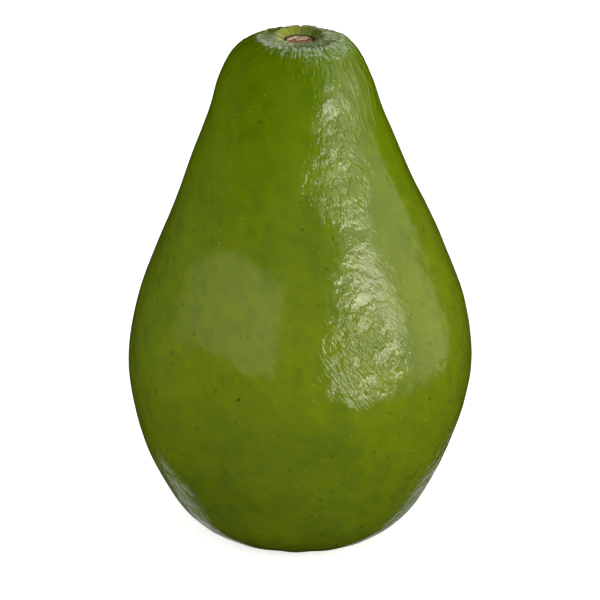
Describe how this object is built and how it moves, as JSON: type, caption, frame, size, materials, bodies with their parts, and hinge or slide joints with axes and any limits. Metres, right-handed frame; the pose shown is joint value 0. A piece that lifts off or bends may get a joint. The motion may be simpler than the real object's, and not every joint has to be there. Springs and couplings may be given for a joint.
{
  "type": "avocado",
  "caption": "Green, pear-shaped avocado with a glossy, faintly wrinkled skin, standing on its blossom end, with a puckered dimple and a woody stalk scar on top.",
  "frame": {"origin": "middle of the small flat spot on the blossom end, which is the middle of the bottom of the bounding box", "axes": "+Z from the blossom end up to the stalk scar, +X to the right and +Y away from the viewer of the picture"},
  "size_m": [0.0768, 0.0755, 0.116],
  "materials": {
    "fruit_skin": "smooth, waxy and glossy, with a faint orange-peel wrinkle",
    "stem_wood": "dry, fibrous and matte"
  },
  "bodies": {
    "root": {"fruit": "fruit_skin", "stem_button": "stem_wood"}
  },
  "joints": []
}
